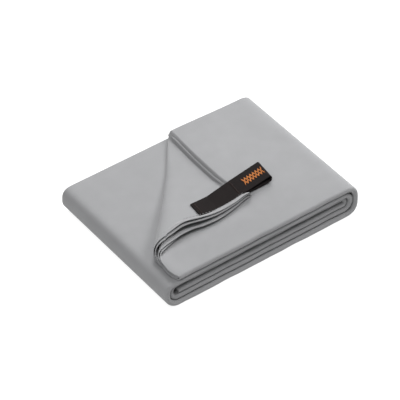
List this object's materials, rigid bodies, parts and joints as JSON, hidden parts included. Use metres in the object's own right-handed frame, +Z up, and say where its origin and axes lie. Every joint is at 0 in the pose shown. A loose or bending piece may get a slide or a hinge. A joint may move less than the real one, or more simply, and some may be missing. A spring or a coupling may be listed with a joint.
{
  "type": "quick-dry travel towel",
  "caption": "Thin quick-dry travel towel folded into a flat packet, with a lifting flap, one turned-over corner and a sewn tape hang loop.",
  "frame": {"origin": "centre of the packet's footprint, on the surface it lies on", "axes": "+X along the packet towards the fold that carries the flap, +Y towards the hemmed open edge, +Z up"},
  "size_m": [0.203, 0.15, 0.0407],
  "materials": {
    "cloth": "fine matt microfibre with a soft nap",
    "hem": "folded and stitched microfibre",
    "tape": "fine black-brown woven tape",
    "badge_yarn": "copper-coloured woven yarn",
    "thread": "dark sewing thread"
  },
  "bodies": {
    "packet": {"bottom_panel": "cloth", "lower_inner_panel": "cloth", "core_panel": "cloth", "upper_inner_panel": "cloth", "left_top_panel": "cloth", "right_outer_fold": "cloth", "right_middle_fold": "cloth", "right_inner_fold": "cloth", "left_outer_fold": "cloth", "left_inner_fold": "cloth"},
    "flap": {"flap_lower_bundle": "cloth", "flap_upper_bundle": "cloth", "flap_front_bundle": "cloth"},
    "turned_corner": {"corner_lower_layer": "cloth", "corner_middle_layer": "cloth", "corner_upper_layer": "cloth", "corner_fold_roll": "cloth", "corner_end_hem": "hem", "corner_side_hem": "hem", "loop_sewn_tape": "tape", "loop_left_bar_tack": "thread", "loop_right_bar_tack": "thread"},
    "hang_loop": {"hang_loop": "tape", "woven_badge": "badge_yarn"}
  },
  "joints": [
    {"name": "flap_fold", "type": "hinge", "parent": "packet", "child": "flap", "pos_m": [0.08635, 0, 0.0305], "axis": [0, 1, 0], "range_deg": [0, 150]},
    {"name": "corner_fold", "type": "hinge", "parent": "flap", "child": "turned_corner", "pos_m": [0.006, 0.067, 0.02885], "axis": [-0.6207, -0.7834, 0.0318], "range_deg": [0, 150]},
    {"name": "loop_seam", "type": "hinge", "parent": "turned_corner", "child": "hang_loop", "pos_m": [0.014, -0.0235, 0.03485], "axis": [0, -1, 0], "range_deg": [0, 130]}
  ]
}
